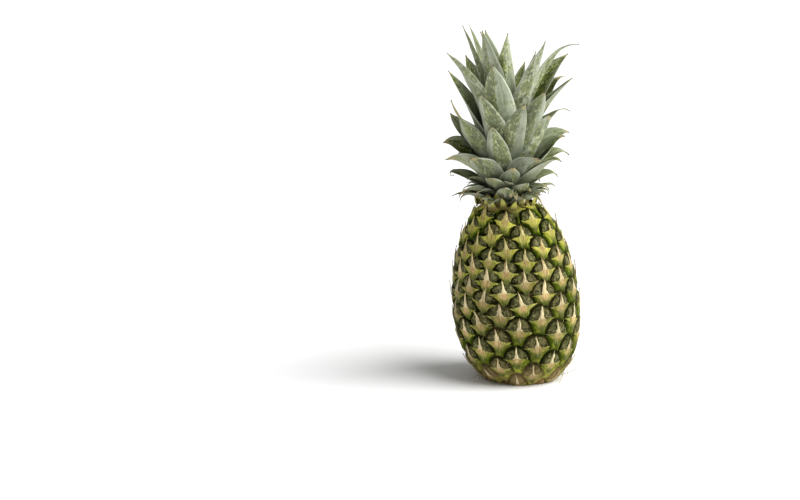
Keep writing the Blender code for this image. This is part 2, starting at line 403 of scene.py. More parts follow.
def eyeCell(turn, path):
    # eyes overlap like scales: each point belongs to the lowest eye whose arch covers it. Gives
    # that eye, the place in it (in eye widths and heights), the distance from the nearest groove,
    # and whether that groove is the eye's own arch
    shape = turn.shape
    turn, path = turn.ravel(), path.ravel()
    found = [np.empty(turn.size, int)] + [np.empty(turn.size) for _ in range(4)]
    for part in np.array_split(np.arange(turn.size), max(1, turn.size // 1500)):
        radius = outlineRadius(path[part])[:, None]
        up = (path[part, None] - eyes["path"]) / eyes["height"]
        across = np.radians(wrap(turn[part, None] - eyes["turn"])) * radius / eyes["width"]
        across = across - eyes["lean"] * up
        cover = 1.0 - np.hypot(across / fruit["archWidth"], np.maximum(up, 0) / fruit["archHeight"])
        inside = (cover > 0) & (up > -0.85)
        best = np.argmax(np.where(inside, up, -9.0 - np.hypot(across, up)), axis=1)
        row = np.arange(len(part))
        bestUp = up[row, best]
        own = cover[row, best] + 3.0 * np.maximum(-bestUp, 0)
        gap = np.where(up > bestUp[:, None], -cover, 9.0).min(axis=1)
        answers = (best, across[row, best], bestUp, np.clip(np.minimum(own, gap), 0, 1), own < gap)
        for whole, answer in zip(found, answers):
            whole[part] = answer
    return [item.reshape(shape) for item in found]


def lobeShape(across, up):
    # two low swellings on a dome, left and right of the star's point
    return hump(np.abs(across), *fruit["lobeAcross"]) * hump(up, *fruit["lobeUp"])


def eyeRelief(across, up, edge, ownArch, size):
    # height of the skin: a dome that falls steeply under its own arch and gently to the grooves
    reach = np.where(ownArch > 0.5, fruit["reachUnderArch"], fruit["reachElsewhere"])
    pillow = 1.0 - (1.0 - np.clip(edge / reach, 0, 1)) ** fruit["domePower"]
    rise = -fruit["grooveDepth"] + (fruit["domeHeight"] + fruit["grooveDepth"]) * pillow
    return (rise + fruit["lobeHeight"] * lobeShape(across, up) * pillow) * np.sqrt(size)


def buildFruitSkin(material):
    # a grid round the fruit: every point takes the height that its eye's relief gives it
    paths = np.concatenate([np.linspace(*rows) for rows in fruit["rows"]])
    turns = np.arange(fruit["columns"]) * 360.0 / fruit["columns"]
    turn, path = np.meshgrid(turns, paths)
    along, up = fruit["unevenSizes"]
    calm = np.clip((200 - path) / 60, 0, 1)     # the turns are less uneven near the neck
    unevenTurn = turn + fruit["uneven"] * wander(turn * 1.2, path, along, 3) * calm
    unevenPath = path + fruit["uneven"] * wander(turn * 1.2, path, up, 4)
    which, across, up, edge, own = eyeCell(unevenTurn, unevenPath)
    relief = eyeRelief(across, up, edge, own, eyes["size"][which])
    relief = relief + fruit["bumpiness"] * wander(turn, path, fruit["bumpSize"], 5)
    relief = relief * ease((path - fruit["smoothBelow"]) / fruit["smoothOver"])
    points = skinPoint(turn, path, relief)
    radius = np.hypot(points[..., 0], points[..., 1])
    # the flat base: nothing lower than the floor, hollow inside, with the stub standing in it
    inside = fruit["stubRadius"] + fruit["stubEdge"] - radius
    floor = fruit["hollowDepth"] * ease((fruit["hollowRadius"] - radius) / fruit["hollowOver"])
    floor = floor - fruit["stubHeight"] * ease(inside / fruit["stubEdge"])
    points[..., 2] = np.maximum(points[..., 2], np.where(path < 40, floor, 0.0))
    rows, columns = turn.shape
    poles = np.array([points[0].mean(axis=0), points[-1].mean(axis=0)])
    first = np.arange(columns)
    last = (rows - 1) * columns + first
    bottom = np.stack([np.full(columns, rows * columns), np.roll(first, -1), first], axis=-1)
    top = np.stack([np.full(columns, rows * columns + 1), last, np.roll(last, -1)], axis=-1)
    marks = {
        "eyeUp": up, "eyeEdge": edge, "ownArch": own, "eyeSeed": eyes["seed"][which],
        "eyeDry": eyes["dry"][which], "lobe": lobeShape(across, up), "path": path,
        "stub": ease((fruit["stubRadius"] + 1.0 - radius) / 2.0) * (path < -4)}
    marks = {label: np.concatenate([values.ravel(), [values[0, 0], values[-1, 0]]])
             for label, values in marks.items()}
    return makePiece("fruit_skin", np.concatenate([points.reshape(-1, 3), poles]),
                     gridFaces(rows, columns, closed=True), np.concatenate([bottom, top]), marks,
                     material, ["fruit"])


bract = {
    # half the width (in eye widths) against the height in the eye (in eye heights), foot to point
    "up": (-0.40, -0.35, -0.29, -0.22, -0.14, -0.075, -0.025, 0.02, 0.038, 0.058, 0.085, 0.13, 0.2,
           0.3, 0.42, 0.54, 0.63),
    "half": (0.05, 0.12, 0.175, 0.235, 0.31, 0.40, 0.53, 0.68, 0.48, 0.31, 0.19, 0.13, 0.092,
             0.066, 0.045, 0.025, 0.007),
    "across": (-1.0, -0.72, -0.45, -0.2, 0.0, 0.2, 0.45, 0.72, 1.0),
    # how far the middle stands off the outline, foot to the start of the point
    "bodyUp": (-0.42, -0.34, -0.2, -0.05, 0.05, 0.12), "bodyRise": (-1.6, 0.2, 1.7, 2.2, 2.3, 2.6),
    "seed": 23, "lowestPath": 3.0, "highestPath": 188.0,
    "thickness": 0.5, "thinner": 0.55, "clearance": 0.35, "offFloor": 0.15, "wingDrop": 1.0,
    "ragged": 0.022, "tilt": 0.075, "keel": 0.45, "pointFrom": 0.085, "pointBend": 0.05,
    "pointRise": 2.6, "tipRise": 1.9, "tipRiseMore": (-0.8, 2.4),
    "pointLength": (0.86, 1.12), "tornShare": 0.12, "tornLength": 0.62,
    "wingSize": (0.88, 1.04), "wingCurl": (0.0, 0.085),
    # towards the neck the points get shorter, stand further up and get broader
    "shorter": 0.25, "shorterFrom": 125.0, "raised": 3.6, "raisedFrom": 128.0, "changeOver": 30.0,
    "broader": 0.8, "broaderFrom": 152.0, "broaderOver": 22.0,
}


def buildBracts(material):
    # rows of points across a star outline, laid over the eye and lifted towards the free point
    inRange = (eyes["path"] > bract["lowestPath"]) & (eyes["path"] < bract["highestPath"])
    each = {label: values[inRange, None, None] for label, values in eyes.items()}
    shape = each["path"].shape                  # bracts, then rows and columns of points
    draw = np.random.default_rng(bract["seed"])
    torn = draw.random(shape) < bract["tornShare"]
    pointLength = np.where(torn, bract["tornLength"], draw.uniform(*bract["pointLength"], shape))
    high = ease((each["path"] - bract["shorterFrom"]) / bract["changeOver"])
    pointLength = pointLength * (1 - bract["shorter"] * high)
    pointBend = draw.normal(0.0, bract["pointBend"], shape)
    wingSize = draw.uniform(*bract["wingSize"], (*shape, 2))
    wingCurl = draw.uniform(*bract["wingCurl"], (*shape, 2))
    raised = bract["raised"] * ease((each["path"] - bract["raisedFrom"]) / bract["changeOver"])
    tipRise = bract["tipRise"] + draw.uniform(*bract["tipRiseMore"], shape) + raised
    up = np.array(bract["up"])[:, None]
    half = np.array(bract["half"])[:, None]
    u = np.array(bract["across"])
    point = ease((up - 0.05) / 0.1)             # 0 in the star's body, 1 in its point
    wing, curl = (np.where(u > 0, side[..., 1], side[..., 0]) for side in (wingSize, wingCurl))
    nearNeck = ease((each["path"] - bract["broaderFrom"]) / bract["broaderOver"])
    x = half * u * (wing * (1 - point) + point * (1 + bract["broader"] * nearNeck))
    start = bract["pointFrom"]
    y = np.where(up > start, start + (up - start) * pointLength, up) + 0 * u
    y = y + curl * (np.abs(x) / 0.65) ** 2
    x = x + pointBend * np.clip((y - 0.1) / 0.5, 0, 1.2) ** 2
    tilt = draw.normal(0.0, bract["tilt"], shape)
    flatX, flatY = x, y                         # the colours follow the star before it is tilted
    x, y = x * np.cos(tilt) - y * np.sin(tilt), x * np.sin(tilt) + y * np.cos(tilt)
    ragged = np.abs(u) ** 3 * bract["ragged"]
    x = x + draw.normal(0.0, 1.0, x.shape) * ragged
    y = y + draw.normal(0.0, 0.6, x.shape) * ragged
    path = each["path"] + y * each["height"]
    aside = np.degrees((x + each["lean"] * y) * each["width"] / outlineRadius(path))
    turn = each["turn"] + aside
    which, cellAcross, cellUp, edge, own = eyeCell(turn, path)
    skin = eyeRelief(cellAcross, cellUp, edge, own, eyes["size"][which])
    body = np.interp(y, bract["bodyUp"], bract["bodyRise"])
    body = body - bract["wingDrop"] * (np.abs(x) / 0.62) ** 2
    share = np.clip((y - 0.1) / 0.55, 0, 1)
    lifted = bract["pointRise"] + (tipRise - bract["pointRise"]) * share
    rise = np.maximum(skin + bract["clearance"], body * (1 - point) + lifted * point)
    rise = rise + bract["keel"] * (1 - np.abs(u)) ** 1.4 * point
    thick = bract["thickness"] * (1 - bract["thinner"] * share) + 0 * u
    points = np.stack([skinPoint(turn, path, rise), skinPoint(turn, path, rise - thick)], axis=1)
    points[..., 2] = np.maximum(points[..., 2], bract["offFloor"])
    fromFoot = flatY + 0.55                     # the fibres fan out from a place below the foot
    marks = {
        "fan": np.degrees(np.arctan2(flatX, fromFoot)) / 45.0,
        "reach": np.hypot(flatX, fromFoot), "bractX": flatX, "bractY": flatY,
        "eyeSeed": each["seed"], "eyeDry": each["dry"], "path": path}
    marks = {label: np.stack([np.broadcast_to(values, x.shape)] * 2, axis=1)
             for label, values in marks.items()}
    count, rows, columns = x.shape
    faces = copies(shellFaces(rows, columns), 2 * rows * columns, count)
    return makePiece("eye_bracts", points, faces, None, marks, material)


hair = {
    "seed": 37, "count": 70, "stations": 9, "length": (5.0, 15.0), "radius": 0.24,
    "lowestPath": 5.0, "highestPath": 165.0, "crowding": 1.6,
    "swerve": 1.1, "lift": (0.2, 0.75),         # how much one turns as it grows, and stands off
    "settle": 0.8, "thinner": 0.6, "offFloor": 0.2,
    "lowBelow": 16.0, "lowOver": 8.0, "longerLow": 1.3, "thickerLow": 0.4,
}


def buildHairs(material):
    # dry strands frayed from the bracts: thin three-sided tubes that curl out from the skin
    draw = np.random.default_rng(hair["seed"])
    count, stations = hair["count"], hair["stations"]
    turn = draw.uniform(0, 360, count)
    room = hair["highestPath"] - hair["lowestPath"]
    path = hair["lowestPath"] + room * draw.random(count) ** hair["crowding"]
    foot = skinPoint(turn, path, np.zeros(count))
    out = skinPoint(turn, path, np.ones(count)) - foot
    aside = np.stack([np.cos(np.radians(turn)), np.sin(np.radians(turn)), 0 * turn], axis=-1)
    upward = np.cross(out, aside) * -1.0
    low = ease((hair["lowBelow"] - path) / hair["lowOver"])
    length = draw.uniform(*hair["length"], count) * (1 + hair["longerLow"] * low)
    share = np.linspace(0, 1, stations)
    heading = draw.uniform(0, math.tau, count)[:, None]
    heading = heading + draw.normal(0, hair["swerve"], count)[:, None] * share
    lift = draw.uniform(*hair["lift"], count)[:, None] * (1 - hair["settle"] * share)
    step = (length / (stations - 1))[:, None]
    ways = (np.sin(lift), np.cos(lift) * np.cos(heading), np.cos(lift) * np.sin(heading))
    spine = foot[:, None] + sum(
        np.cumsum(step * way, axis=1)[..., None] * axis[:, None]
        for way, axis in zip(ways, (out, aside, upward)))
    corner = np.radians(np.array([90.0, 210.0, 330.0]))
    radius = hair["radius"] * (1 + hair["thickerLow"] * low[:, None])
    radius = radius * (1 - hair["thinner"] * share)
    over = np.cross(out[:, None], np.gradient(spine, axis=1)) / step[..., None]
    ring = np.cos(corner)[:, None] * out[:, None, None] + np.sin(corner)[:, None] * over[:, :, None]
    points = spine[:, :, None] + radius[:, :, None, None] * ring
    points[..., 2] = np.maximum(points[..., 2], hair["offFloor"])
    top = 3 * stations - 3
    ends = np.array([[2, 1, 0], [top, top + 1, top + 2]])
    marks = {"share": np.broadcast_to(share[None, :, None], points.shape[:3])}
    return makePiece("dry_hairs", points,
                     copies(gridFaces(stations, 3, closed=True), 3 * stations, count),
                     copies(ends, 3 * stations, count), marks, material)


stemLow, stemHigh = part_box("crown_stem")
crown = {
    "foot": np.array([(stemLow.x + stemHigh.x) / 2, (stemLow.y + stemHigh.y) / 2, stemLow.z]) / mm,
    "stemHeight": (stemHigh.z - stemLow.z) / mm,
    "stemFootRadius": 15.0, "stemTopRadius": 4.0, "stemFlare": 5.0, "stemFlareHeight": 7.0,
    "lowest": -4, "innermost": 53, "span": 56, "firstInner": 14,
    "turnEach": -137.5, "frontLeaf": 14, "frontHeading": -83.0,
    # share of the stem's height at which a leaf grows, by rising powers of its place
    "heightLaw": (0.068, 0.66, 0.27),
    # laws of size against a leaf's place between the lowest full leaf (0) and the innermost (1)
    "places": (-0.08, 0.0, 0.05, 0.12, 0.2, 0.3, 0.39, 0.48, 0.57, 0.66, 0.75, 0.86, 1.0),
    "lengths": (22, 28, 34, 45, 54, 62, 68, 88, 104, 120, 138, 130, 66),
    "widths": (20, 21, 22, 24, 26, 28, 29, 29, 29, 28, 27, 24, 15),
    "footAngles": (70, 62, 55, 46, 37, 31, 26, 22, 17, 14, 12, 10, 8),
    "tipAngles": (98, 106, 112, 120, 120, 106, 76, 50, 36, 34, 32, 28, 16),
}

# single leaves that grew differently: turned, longer, wider, foot bent out, tip bent out, and the
# tip's shift to the side in mm (to the right on the leaves at the front)
leafChanges = {
    -4: (0, 0, 0, -6, -20, 0), -2: (0, 0, 0, -6, -20, 0), 0: (0, 2, 0, 10, 24, 0),
    1: (0, -2, 0, -8, -46, 0), 3: (0, -2, 2, -4, -26, 0), 6: (0, -14, -2, 4, -50, 0),
    7: (6, 5, 0, 2, -22, 0), 8: (0, -2, 2, 2, -16, 0), 9: (0, -14, -4, 4, -45, 0),
    11: (0, 2, 2, -3, -50, 0), 12: (4, 3, 1, -10, -24, 0), 13: (-26, 12, 2, 2, -22, 0),
    14: (0, -26, -6, 6, -60, 0), 15: (0, 3, 0, 0, 0, 0), 16: (3, 2, 2, 1, -64, 0),
    17: (0, -16, 0, 8, -38, 0), 19: (0, -22, 0, 6, -22, 0), 20: (0, -4, 4, 6, -18, 0),
    21: (-10, 6, 2, 4, -8, 0), 22: (-8, -6, -7, 0, -40, 0), 23: (0, -14, -4, 8, -10, 0),
    24: (0, -10, 2, -1, -36, 0), 25: (0, 6, -6, 7, -22, 0), 27: (-12, -2, -6, -2, 0, 5),
    28: (0, -21, -2, 14, 8, 0), 29: (0, -12, 2, 2, 14, 0), 30: (4, -9, 0, 2, 0, 0),
    31: (0, -10, 0, 0, 0, 0), 32: (-4, -22, 0, 3, -6, 0), 33: (0, -6, -3, 2, 0, 0),
    34: (-14, -6, 0, 9, 4, 0), 35: (-24, -5, 7, 1, 0, 8), 36: (0, -10, 0, 0, 0, 4),
    37: (0, -24, 0, 4, 16, 0), 38: (-2, 0, -6, 0, 16, 0), 39: (0, -45, 0, 0, 0, 0),
    40: (-1, -8, 0, 2, -2, 4), 41: (14, -45, 0, 0, 0, 0), 42: (0, -25, 3, 1, 22, 0),
    43: (-8, -8, 2, 0, 0, 0), 44: (0, -15, 9, 0, 0, 0), 45: (4, -6, -3, 0, 15, 0),
    46: (3, -8, -8, 0, -4, 0), 47: (0, -45, 0, 0, 0, 0), 48: (-35, -12, 3, 0, 0, 16),
    49: (0, -4, -4, 0, 0, 0), 50: (14, -24, 0, 2, -8, 0), 51: (0, 8, 0, 0, 0, 0),
    52: (0, -50, -4, -3, 0, 0), 53: (0, -20, 0, 0, 0, 0),
}

leaf = {
    "rows": 44, "across": np.linspace(-1, 1, 13), "thickness": 0.8, "tipWidth": 1.0,
    # breadth, and how late the sides draw together, against the leaf's place in the crown
    "broadAt": (0.0, 0.15, 0.35), "broader": (0.78, 0.95, 1.16),
    "fullAt": (0.1, 0.4, 0.62, 0.75, 0.9), "fullness": (2.3, 3.3, 3.1, 2.3, 1.9),
    "stations": 8, "stationPower": 1.15, "leanPower": 1.7, "clearance": 0.45,
    "curlFrom": 0.78, "curlPower": 1.3, "rollFrom": 0.12, "rollOver": 0.5,
    # the foot holds this much of the stem's round, and isn't much wider than the blade
    "footHalfAngle": 50.0, "footWidest": 1.15, "footOver": 0.3,
    "tailShare": 0.75, "tailWidth": 0.13, "thinner": 0.45, "marginThinner": 0.75,
    "channelFrom": 0.2, "channelOver": 0.4, "channelCurve": 0.026, "tightest": 6.0,
    "keel": 0.5, "keelWidth": 0.2, "roof": 0.12, "foldOver": 0.35,
    "ripple": 0.7, "rippleSize": 22.0, "rippleSeed": 300, "seed": 100, "looksStep": 0.137,
}

# looks of single leaves: tone (a lightness multiplier, here partly painted light and shade: higher
# on leaves that catch the light, lower on leaves that face away), dry tip length in mm, curl of the
# tip in degrees, roll in degrees, rubbed share, pinched tail in mm
leafLooks = {
    3: (0.9, 5, 60, 0, 0.5, 0), 4: (0.8, 7, 70, 20, 0.3, 0), 7: (0.8, 9, 240, -20, 0.3, 6),
    8: (0.95, 5, 60, 10, 0.5, 0), 11: (1.0, 4, 60, 10, 0.5, 0), 12: (1.0, 7, 12, 34, 0.5, 0),
    13: (1.0, 4, 50, 10, 0.5, 0), 14: (0.95, 4, -30, 0, 0.5, 0), 15: (0.8, 6, 60, -20, 0.5, 0),
    16: (0.9, 4, 60, 22, 0.6, 0), 17: (0.95, 5, 0, 26, 0.9, 0), 19: (0.85, 5, 0, -26, 0.8, 0),
    20: (0.95, 5, 50, -30, 0.6, 0), 21: (0.95, 4, 45, 20, 0.35, 0), 22: (1.15, 3, 0, 0, 1.0, 0),
    24: (1.0, 4, 10, -30, 0.5, 0), 25: (1.1, 18, -20, 40, 1.0, 24), 27: (0.9, 5, 0, 0, 1.0, 0),
    28: (0.75, 3, -20, -24, 0.3, 0), 29: (0.95, 8, 70, 0, 0.5, 14), 30: (1.0, 3, 0, -8, 1.0, 0),
    32: (0.95, 3, 0, -28, 1.0, 0), 33: (0.95, 4, 0, -30, 0.5, 0), 34: (0.8, 10, 60, 0, 0.8, 0),
    35: (1.3, 4, 0, 0, 1.0, 0), 37: (1.0, 4, 0, 6, 0.6, 0), 38: (1.05, 3, 0, 12, 0.5, 0),
    40: (1.02, 2, 0, 8, 0.6, 0), 42: (0.85, 4, 0, 36, 0.8, 0), 43: (0.95, 3, 0, 0, 0.6, 0),
    44: (0.95, 2, 0, 0, 0.6, 0), 45: (1.25, 2, 50, -12, 0.5, 0), 46: (0.9, 3, 0, 14, 0.5, 0),
    48: (1.9, 2, 0, 6, 0.7, 0), 49: (0.9, 2, 0, -8, 0.5, 0), 50: (0.65, 20, 0, 20, 0.6, 0),
}

# the looks that any other leaf draws; its roll also follows the side that it faces
anyLeaf = {
    "tone": (0.8, 1.0), "dryLength": (2, 5), "curl": (-10, 30), "roll": (-10, 10),
    "rubbed": (0.5, 0.9), "sideRoll": 26.0, "sideRollFrom": 4, "sideRollOver": 12.0,
}


def ruled(place, law):
    # what the crown's law gives at a place, along straight lines between its values
    return float(np.interp(place, crown["places"], crown[law]))


def stemRadius(height):
    # a straight cone with a flare at its foot that dies away upwards
    flare = crown["stemFlare"] * math.exp(-height / crown["stemFlareHeight"])
    drop = (crown["stemTopRadius"] - crown["stemFootRadius"]) * height / crown["stemHeight"]
    return crown["stemFootRadius"] + drop + flare


def leafSpine(height, length, footAngle, tipAngle):
    # distance from the crown's axis and height at each station; the lean grows towards the tip
    radius = stemRadius(height) + leaf["clearance"] + leaf["thickness"]
    reach = (np.arange(leaf["stations"]) / (leaf["stations"] - 1)) ** leaf["stationPower"]
    angle = np.radians(footAngle + (tipAngle - footAngle) * reach ** leaf["leanPower"])
    steps = np.diff(reach, prepend=0.0) * length
    radii, heights = np.cumsum(steps * np.sin(angle)), np.cumsum(steps * np.cos(angle))
    return reach, radius + radii, height + heights


def bendTip(reach, radii, heights, curl):
    # turns the last part of a spine further over, keeping its length
    angle = np.arctan2(np.diff(radii), np.diff(heights))
    step = np.hypot(np.diff(radii), np.diff(heights))
    middle = (reach[1:] + reach[:-1]) / 2
    beyond = np.clip((middle - leaf["curlFrom"]) / (1 - leaf["curlFrom"]), 0, 1)
    angle = angle + np.radians(curl) * beyond ** leaf["curlPower"]
    return (np.cumsum(np.append(radii[0], step * np.sin(angle))),
            np.cumsum(np.append(heights[0], step * np.cos(angle))))


def leafShape(size, looks, seed, rows, across):
    # a thin channelled blade carried along its spine: it hugs the stem at the foot, swells, and
    # narrows to a point; each section is an arc, with a fold in the middle and thin margins
    heading, height, length, fullWidth, footAngle, tipAngle, fullness, swayed = size
    curl, roll, tail = looks
    known, knownRadii, knownHeights = leafSpine(height, length, footAngle, tipAngle)
    reach = np.linspace(0, 1, rows)
    radii, heights = (curveThrough(known, values, reach) for values in (knownRadii, knownHeights))
    radii, heights = bendTip(reach, radii, heights, curl)
    angle = np.arctan2(np.gradient(radii), np.gradient(heights))
    # the width: the foot's, then the blade's up to its point; a pinched tail ends the blade sooner
    footWidth = 2 * radii[0] * math.sin(math.radians(leaf["footHalfAngle"]))
    footWidth = min(footWidth, leaf["footWidest"] * fullWidth)
    width = footWidth + (fullWidth - footWidth) * ease(reach / leaf["footOver"])
    body = reach * length / (length - leaf["tailShare"] * tail)
    tailBlade = leaf["tailWidth"] * (tail > 0) * (1 - reach ** 6)
    blade = np.maximum(1 - np.clip(body, 0, 1) ** fullness, tailBlade)
    width = np.maximum(leaf["tipWidth"], width * blade)
    thickness = leaf["thickness"] * (1 - leaf["thinner"] * reach)
    channel = leaf["channelCurve"] * ease((reach - leaf["channelFrom"]) / leaf["channelOver"])
    curve = (np.cos(angle) / np.maximum(radii, leaf["tightest"]) + channel)[:, None]
    curve = np.where(np.abs(curve) < 1e-3, 1e-3, curve)
    # the spine in space, and the ways across the blade and towards its inner face, both rolled
    outward = np.array([math.cos(heading), math.sin(heading), 0.0])
    sideways = np.array([-math.sin(heading), math.cos(heading), 0.0])
    upward = np.array([0.0, 0.0, 1.0])
    centre = crown["foot"] + radii[:, None] * outward + heights[:, None] * upward
    centre = centre + sideways * (swayed * reach ** 2)[:, None]
    innerSide = np.sin(angle)[:, None] * upward - np.cos(angle)[:, None] * outward
    turn = np.radians(roll * ease((reach - leaf["rollFrom"]) / leaf["rollOver"]))[:, None]
    side = sideways * np.cos(turn) + innerSide * np.sin(turn)
    inner = innerSide * np.cos(turn) - sideways * np.sin(turn)
    # the section: an arc, less a fold along the middle, with gentle ripples at the margins
    swing = curve * width[:, None] * 0.5 * across
    lift = (1 - np.cos(swing)) / curve
    fold = leaf["keel"] * hump(across, 0.0, leaf["keelWidth"]) * (width[:, None] / fullWidth)
    fold = fold + leaf["roof"] * width[:, None] * (1 - np.abs(across))
    wave = wander(across * 6 + 40, reach[:, None] * length, leaf["rippleSize"],
                  leaf["rippleSeed"] + seed)
    wave = wave * np.abs(across) ** 2 * ease(reach * 4)[:, None]
    lift = lift - fold * ease(reach / leaf["foldOver"])[:, None] + leaf["ripple"] * wave
    shift = np.sin(swing) / curve
    margin = 1 - leaf["marginThinner"] * np.abs(across) ** 6
    face = centre[:, None] + side[:, None] * shift[..., None] + inner[:, None] * lift[..., None]
    back = face - inner[:, None] * (thickness[:, None] * margin)[..., None]
    return np.stack([back, face]), reach[:, None] + 0 * across


def leafMarks(along, across, length, seed, tone, rubbed, dryLength):
    # the leaf's own coordinates and looks, the same on its back and its face; along runs from 0 to
    # 1, tipDistance is in millimetres and leafLength in tenths of a metre
    values = {
        "across": across, "along": along, "tipDistance": (1 - along) * length, "leafSeed": seed,
        "tone": tone, "rubbed": rubbed, "dryLength": dryLength, "leafLength": along * length / 100}
    marks = {label: np.stack([np.broadcast_to(value, along.shape)] * 2)
             for label, value in values.items()}
    marks["innerFace"] = np.stack([0 * along, 0 * along + 1])
    return marks


def buildLeaf(number, material):
    # one full leaf: the crown's laws at its place, with its own changes of size and looks
    place = number / crown["span"]
    draw = np.random.default_rng(leaf["seed"] + number)
    heading = crown["frontHeading"] + crown["turnEach"] * (number - crown["frontLeaf"])
    facing = math.radians(heading)
    facing = math.cos(facing) * (1.0 if math.sin(facing) > 0 else -1.0)
    rolled = float(ease((number - anyLeaf["sideRollFrom"]) / anyLeaf["sideRollOver"]))
    drawn = (draw.uniform(*anyLeaf["tone"]), draw.uniform(*anyLeaf["dryLength"]),
             draw.uniform(*anyLeaf["curl"]),
             draw.uniform(*anyLeaf["roll"]) + facing * anyLeaf["sideRoll"] * rolled,
             draw.uniform(*anyLeaf["rubbed"]), 0)
    tone, dryLength, curl, roll, rubbed, tail = leafLooks.get(number, drawn)
    turned, longer, wider, footBent, tipBent, swayed = leafChanges.get(number, (0, 0, 0, 0, 0, 0))
    length = ruled(place, "lengths") + longer
    broader = float(np.interp(place, leaf["broadAt"], leaf["broader"]))
    size = (math.radians(heading + turned),
            crown["stemHeight"] * powers(place, crown["heightLaw"]), length,
            (ruled(place, "widths") + wider) * broader, ruled(place, "footAngles") + footBent,
            ruled(place, "tipAngles") + tipBent,
            float(np.interp(place, leaf["fullAt"], leaf["fullness"])), swayed)
    across = leaf["across"][None, :]
    points, along = leafShape(size, (curl, roll, tail), number, leaf["rows"], across)
    marks = leafMarks(along, across, length, number * leaf["looksStep"], tone, rubbed, dryLength)
    index = number - crown["lowest"] + 1
    faces = shellFaces(leaf["rows"], across.size)
    return makePiece(f"leaf_{index:02d}", points, faces, None, marks, material,
                     [f"crown_leaf_{index:02d}"])


smallLeaf = {
    "rows": 16, "across": np.linspace(-1, 1, 7), "firstHeading": 68.0, "scatter": (-12, 12),
    "sway": (-3, 3), "roll": (-20, 20), "seed": 70, "looksFrom": 9.0, "looksStep": 0.31,
    "tone": (0.6, 1.15), "rubbed": (0.3, 0.9), "dryLength": (1, 8),
}
neck = {
    "seed": 61, "leaves": 44, "lowest": 0.2, "highest": 14.5, "length": (16, 38), "width": (9, 15),
    "footAngle": (42, 68), "tipAngle": (84, 150), "fullness": 1.8, "curl": (0, 100),
}
collar = {
    "seed": 33, "leaves": 22, "lowest": -6.0, "highest": -1.0, "length": (13, 19), "width": (8, 11),
    "footAngle": (2, 20), "tipAngle": (8, 60), "fullness": 1.15, "curl": (-30, 40),
}


def buildSmallLeaves(name, ring, material):
    # small scale leaves round the neck: the foot of the crown, and the collar under it
    draw = np.random.default_rng(ring["seed"])
    rows, across, count = smallLeaf["rows"], smallLeaf["across"][None, :], ring["leaves"]
    points, marks = [], []
    for number in range(count):
        length = draw.uniform(*ring["length"])
        heading = crown["turnEach"] * number + smallLeaf["firstHeading"]
        size = (math.radians(heading + draw.uniform(*smallLeaf["scatter"])),
                ring["lowest"] + (ring["highest"] - ring["lowest"]) * number / (count - 1), length,
                draw.uniform(*ring["width"]), draw.uniform(*ring["footAngle"]),
                draw.uniform(*ring["tipAngle"]), ring["fullness"], draw.uniform(*smallLeaf["sway"]))
        looks = (draw.uniform(*ring["curl"]), draw.uniform(*smallLeaf["roll"]), 0)
        shape, along = leafShape(size, looks, smallLeaf["seed"] + number, rows, across)
        drawn = [draw.uniform(*smallLeaf[label]) for label in ("tone", "rubbed", "dryLength")]
        seed = smallLeaf["looksFrom"] + number * smallLeaf["looksStep"]
        points.append(shape)
        marks.append(leafMarks(along, across, length, seed, *drawn))
    marks = {label: np.stack([each[label] for each in marks]) for label in marks[0]}
    faces = copies(shellFaces(rows, across.size), 2 * rows * across.size, count)
    return makePiece(name, np.stack(points), faces, None, marks, material)


# colours as red, green and blue; patches as scale, level, softness and share of fine noise; paths
# as millimetres up the outline, from where a change starts to where it ends
rindLook = {
    "patches": (210.0, 0.5, 0.1, 0.6), "flecks": (480.0, 0.56, 0.05), "pits": (390.0, 0.6, 0.06),
    "domeDark": (0.012, 0.016, 0.003), "domePale": (0.060, 0.068, 0.017),
    # the lobe colour: pale grey, partly the skin's own bloom, partly a painted highlight on the
    # upper dome
    "lobe": (0.215, 0.215, 0.100), "fleck": (0.32, 0.31, 0.13), "pit": (0.010, 0.011, 0.003),
    "fleshDark": (0.07, 0.10, 0.006), "fleshPale": (0.20, 0.23, 0.022),
    "fleshHigh": (0.38, 0.42, 0.04), "fleshHighPath": (110.0, 160.0),
    "rim": (0.050, 0.085, 0.002), "groove": (0.006, 0.012, 0.0005), "dry": (0.15, 0.10, 0.045),
    "lime": (0.42, 0.50, 0.03), "limePath": (34.0, 14.0),
    "base": (0.44, 0.30, 0.13), "basePath": (34.0, 8.0),
    "neck": (0.05, 0.028, 0.010), "neckPath": (176.0, 186.0),
    "stubDark": (0.30, 0.22, 0.10), "stubPale": (0.62, 0.52, 0.30), "grainScale": 900.0,
    "dullest": 0.6, "shiniest": 0.42, "specular": 0.02, "relief": (0.6, 0.0009),
}


